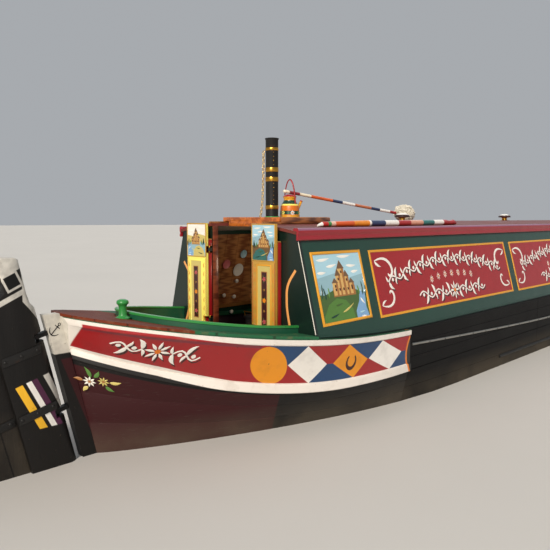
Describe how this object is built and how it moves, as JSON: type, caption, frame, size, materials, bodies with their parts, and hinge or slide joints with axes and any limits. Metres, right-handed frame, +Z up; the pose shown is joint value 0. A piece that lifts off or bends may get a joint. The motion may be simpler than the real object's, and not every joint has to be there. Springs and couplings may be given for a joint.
{
  "type": "unpowered narrowboat (butty) with a long cabin",
  "caption": "Traditional towed narrowboat with a raked stern, hung rudder, stern well, long cabin with an arched roof, sliding hatch, hinged doors and chimney.",
  "frame": {"origin": "on the underside of the flat bottom, on the centreline, midway between the rudder's trailing edge and the stem", "axes": "+X forward to the stem, +Y to port, +Z up"},
  "size_m": [22.5, 2.084, 3.07],
  "materials": {
    "hull_black": "satin bituminous black, a little dusty near the water",
    "bend_paint": "gloss paint in bands, panels and lozenges",
    "cabin_green": "gloss dark green with panels and lines",
    "deck_red": "matt red oxide",
    "rail_red": "gloss signal red",
    "door_paint": "painted boards with ochre frames",
    "slide_paint": "painted boards, orange edge",
    "grained_wood": "combed brown graining under varnish",
    "bottom_timber": "weathered planks",
    "black_iron": "blackened",
    "collar_paint": "gloss mid green",
    "can_paint": "gloss painted bands in green, yellow, orange and red",
    "pole_paint": "painted spiral stripes",
    "mop_rag": "loose rag strands"
  },
  "bodies": {
    "hull": {"hull_side_port": "hull_black", "hull_side_starboard": "hull_black", "sternpost": "hull_black", "stem_post": "hull_black", "stern_shell_port": "bend_paint", "stern_shell_starboard": "bend_paint", "bow_shell_port": "bend_paint", "bow_shell_starboard": "bend_paint", "cabin_side_aft_port": "cabin_green", "cabin_side_mid_port": "cabin_green", "cabin_side_fore_port": "cabin_green", "cabin_side_aft_starboard": "cabin_green", "cabin_side_mid_starboard": "cabin_green", "cabin_side_fore_starboard": "cabin_green", "aft_bulkhead": "cabin_green", "front_bulkhead": "cabin_green", "well_coaming": "cabin_green", "stern_stud": "cabin_green", "fore_deck_board": "cabin_green", "gunwale_port": "cabin_green", "gunwale_starboard": "cabin_green", "roof_aft": "deck_red", "roof_mid": "deck_red", "roof_fore": "deck_red", "stern_deck": "deck_red", "fore_deck": "deck_red", "handrail_port": "rail_red", "handrail_starboard": "rail_red", "well_floor": "grained_wood", "inner_bulkhead": "grained_wood", "step_box": "grained_wood", "range_shelf": "grained_wood", "side_bench": "grained_wood", "bed_cupboard": "grained_wood", "slide_runner_port": "grained_wood", "slide_runner_starboard": "grained_wood", "bottom_planks": "bottom_timber", "cabin_floor": "bottom_timber", "fore_well_floor": "bottom_timber", "rubbing_strake_port": "black_iron", "rubbing_strake_starboard": "black_iron", "fore_stud": "black_iron", "cooking_range": "black_iron", "chimney": "black_iron", "chimney_collar": "collar_paint", "water_can": "can_paint", "mop_handle": "pole_paint", "tiller_bar": "pole_paint", "mop_head": "mop_rag"},
    "rudder": {"rudder_stock": "hull_black", "rudder_blade": "hull_black"},
    "rear_door_port": {"rear_door_port": "door_paint"},
    "rear_door_starboard": {"rear_door_starboard": "door_paint"},
    "slide_hatch": {"slide_hatch": "slide_paint"},
    "front_door_port": {"front_door_port": "door_paint"},
    "front_door_starboard": {"front_door_starboard": "door_paint"}
  },
  "joints": [
    {"name": "rudder_hinge", "type": "hinge", "parent": "hull", "child": "rudder", "pos_m": [-10.30712, 0, 1.583], "axis": [-0.2328, 0, 0.9725], "range_deg": [-70, 70]},
    {"name": "rear_door_port_hinge", "type": "hinge", "parent": "hull", "child": "rear_door_port", "pos_m": [-8.492, 0.3, 1.67], "axis": [0, 0, 1], "range_deg": [0, 180]},
    {"name": "rear_door_starboard_hinge", "type": "hinge", "parent": "hull", "child": "rear_door_starboard", "pos_m": [-8.492, -0.3, 1.67], "axis": [0, 0, -1], "range_deg": [0, 180]},
    {"name": "slide_hatch_slide", "type": "slide", "parent": "hull", "child": "slide_hatch", "axis": [1, 0, 0], "range_m": [-0.18, 0.4]},
    {"name": "front_door_port_hinge", "type": "hinge", "parent": "hull", "child": "front_door_port", "pos_m": [8.2045, 0.324, 1.336], "axis": [0, 0, 1], "range_deg": [0, 175]},
    {"name": "front_door_starboard_hinge", "type": "hinge", "parent": "hull", "child": "front_door_starboard", "pos_m": [8.2045, -0.324, 1.336], "axis": [0, 0, -1], "range_deg": [0, 175]}
  ]
}
